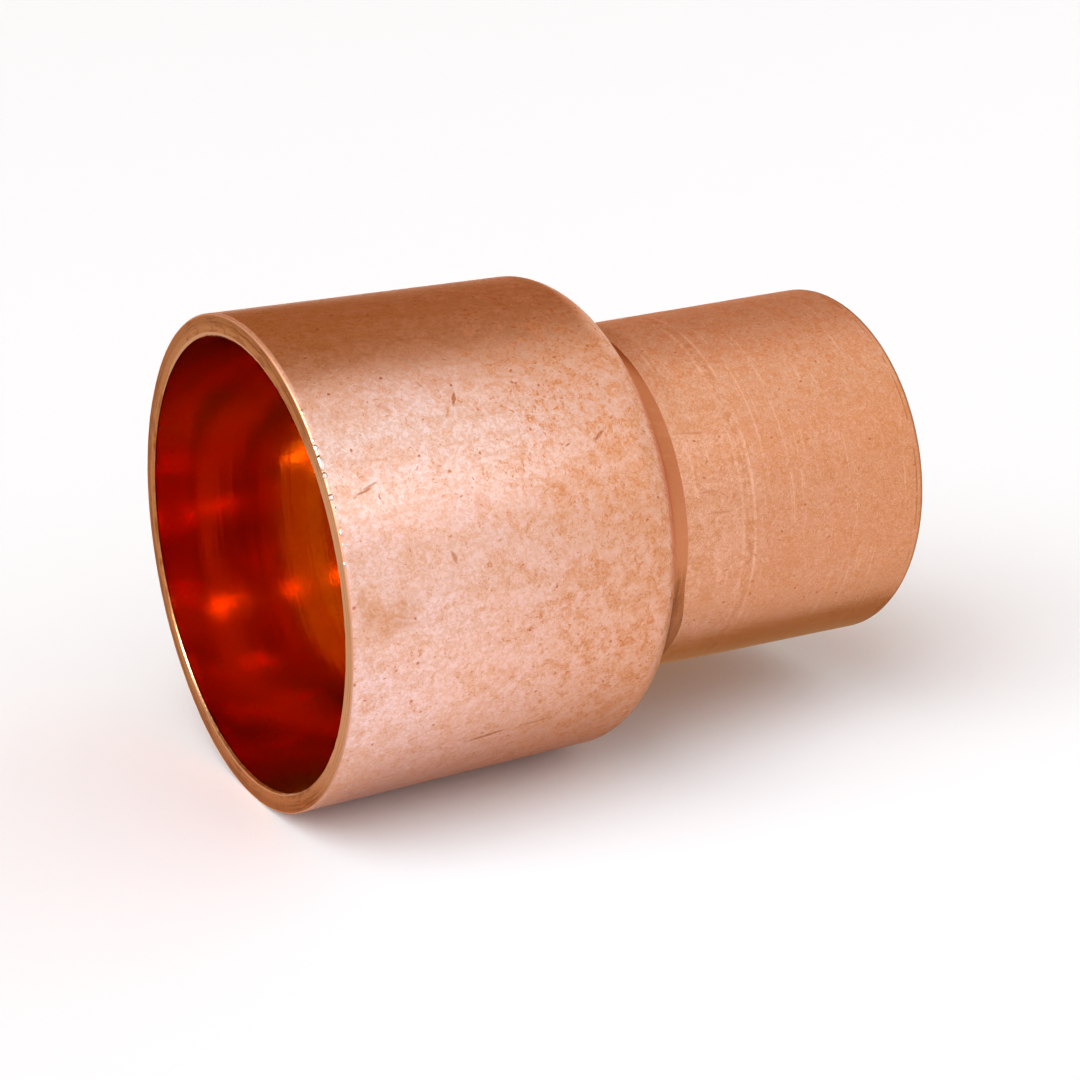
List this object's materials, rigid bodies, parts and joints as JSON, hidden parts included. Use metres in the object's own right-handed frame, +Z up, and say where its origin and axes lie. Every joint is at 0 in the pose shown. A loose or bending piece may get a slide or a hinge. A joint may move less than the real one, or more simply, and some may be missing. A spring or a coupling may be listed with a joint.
{
  "type": "concentric reducer",
  "caption": "Seamless copper reducing coupling: a wide plain socket, a rounded shoulder, a hollow neck and a narrower plain socket on one axis.",
  "frame": {"origin": "centre of the large socket's mouth, on the axis", "axes": "+X runs along the axis from the large socket to the small one, +Z is up, and the part is round about X"},
  "size_m": [0.0392, 0.0278, 0.0278],
  "materials": {
    "copper": "satin drawn copper outside, bright inside"
  },
  "bodies": {
    "root": {"reducer_body": "copper"}
  },
  "joints": []
}
